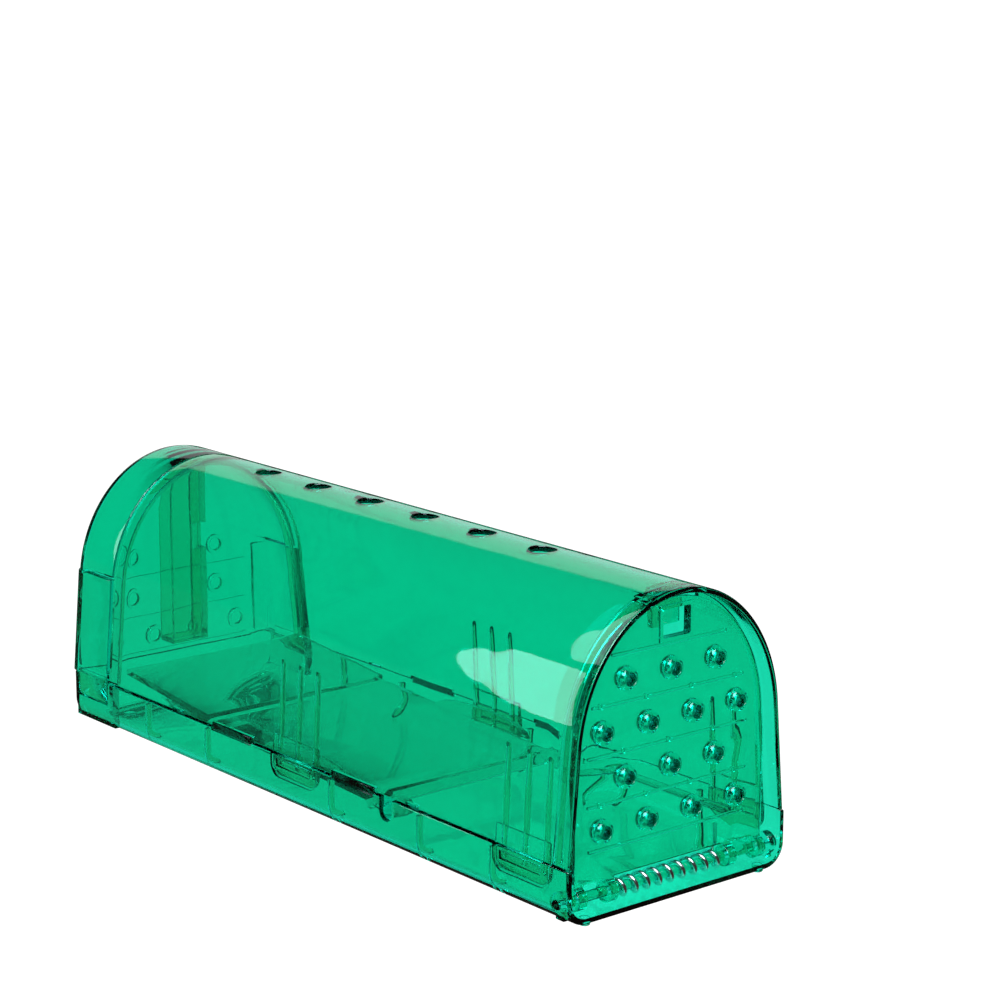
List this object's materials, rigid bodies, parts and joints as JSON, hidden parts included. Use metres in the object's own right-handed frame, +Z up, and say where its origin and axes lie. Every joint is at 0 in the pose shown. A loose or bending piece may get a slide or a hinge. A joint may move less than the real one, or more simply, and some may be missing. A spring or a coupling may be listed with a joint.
{
  "type": "live catch trap",
  "caption": "Clear arched live catch trap for mice: a tunnel on a tray, with a sprung drop door, a treadle that trips it and a rear cap that lifts off for bait.",
  "frame": {"origin": "under the middle of the trap, at the height of its feet", "axes": "+X across the trap, +Y along the tunnel towards the rear cap with the door at -Y, +Z up"},
  "size_m": [0.0566, 0.175, 0.0613],
  "materials": {
    "clear_green_plastic": "clear tinted plastic, polished",
    "bright_steel": "bright drawn wire"
  },
  "bodies": {
    "base": {"base_tray": "clear_green_plastic", "tunnel_cover": "clear_green_plastic", "hinge_pin": "clear_green_plastic", "door_spring": "bright_steel"},
    "door": {"door": "clear_green_plastic"},
    "treadle": {"treadle": "clear_green_plastic"},
    "rear_cap": {"rear_cap": "clear_green_plastic", "bait_holder": "clear_green_plastic"}
  },
  "joints": [
    {"name": "door_hinge", "type": "hinge", "parent": "base", "child": "door", "pos_m": [0, -0.0843, 0.0046], "axis": [1, 0, 0], "range_deg": [0, 90], "stiffness_Nm_per_rad": 0.006, "springref_deg": -57.3, "deforming": ["door_spring"]},
    {"name": "treadle_tilt", "type": "hinge", "parent": "base", "child": "treadle", "pos_m": [0, -0.0324, 0.0091], "axis": [-1, 0, 0], "range_deg": [0, 5], "stiffness_Nm_per_rad": 0.01, "springref_deg": -28.65},
    {"name": "rear_cap_lift", "type": "slide", "parent": "base", "child": "rear_cap", "axis": [0, 0, 1], "range_m": [0, 0.06]}
  ]
}
